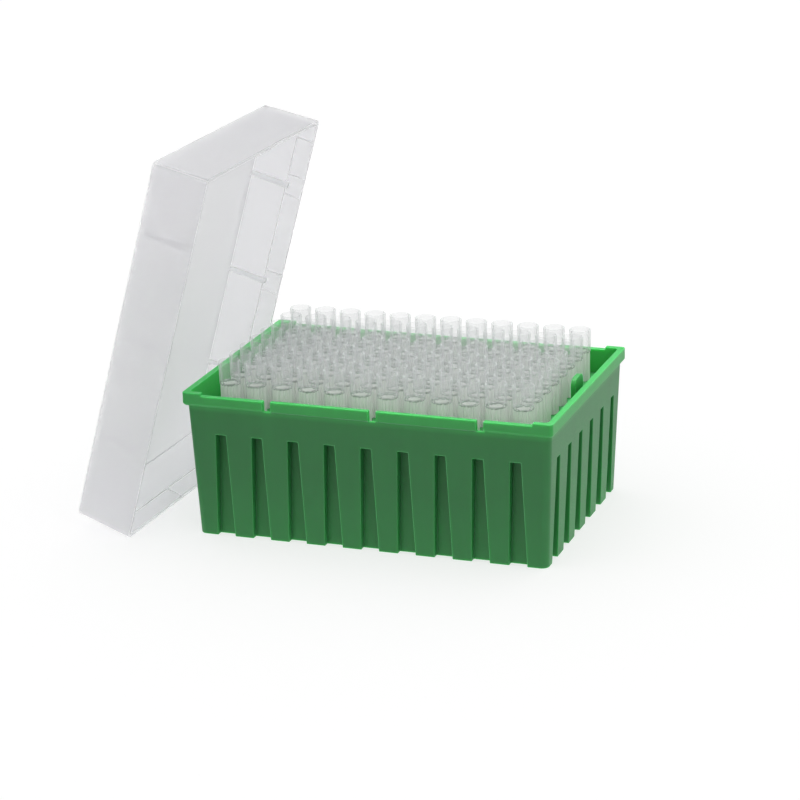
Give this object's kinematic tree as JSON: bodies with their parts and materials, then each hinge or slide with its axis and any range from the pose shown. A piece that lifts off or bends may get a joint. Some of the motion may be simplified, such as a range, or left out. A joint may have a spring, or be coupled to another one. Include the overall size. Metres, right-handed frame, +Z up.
{
  "type": "box of pipette tips",
  "caption": "Open rack box of clear ribbed pipette tips standing in a perforated plate, with its frosted lift-off lid leaning on one end.",
  "frame": {"origin": "centre of the base's underside, on the surface that it stands on", "axes": "+X along the base's long sides, away from the end that the lid leans on; -Y is the front; +Z up"},
  "size_m": [0.1602, 0.0947, 0.1266],
  "materials": {
    "green_plastic": "satin moulded",
    "plate_plastic": "satin moulded",
    "frosted_plastic": "frosted translucent",
    "clear_plastic": "clear moulded"
  },
  "bodies": {
    "root": {"base": "green_plastic", "tip_plate": "plate_plastic", "lid": "frosted_plastic", "tips_column_01": "clear_plastic", "tips_column_02": "clear_plastic", "tips_column_03": "clear_plastic", "tips_column_04": "clear_plastic", "tips_column_05": "clear_plastic", "tips_column_06": "clear_plastic", "tips_column_07": "clear_plastic", "tips_column_08": "clear_plastic", "tips_column_09": "clear_plastic", "tips_column_10": "clear_plastic", "tips_column_11": "clear_plastic", "tips_column_12": "clear_plastic"}
  },
  "joints": []
}
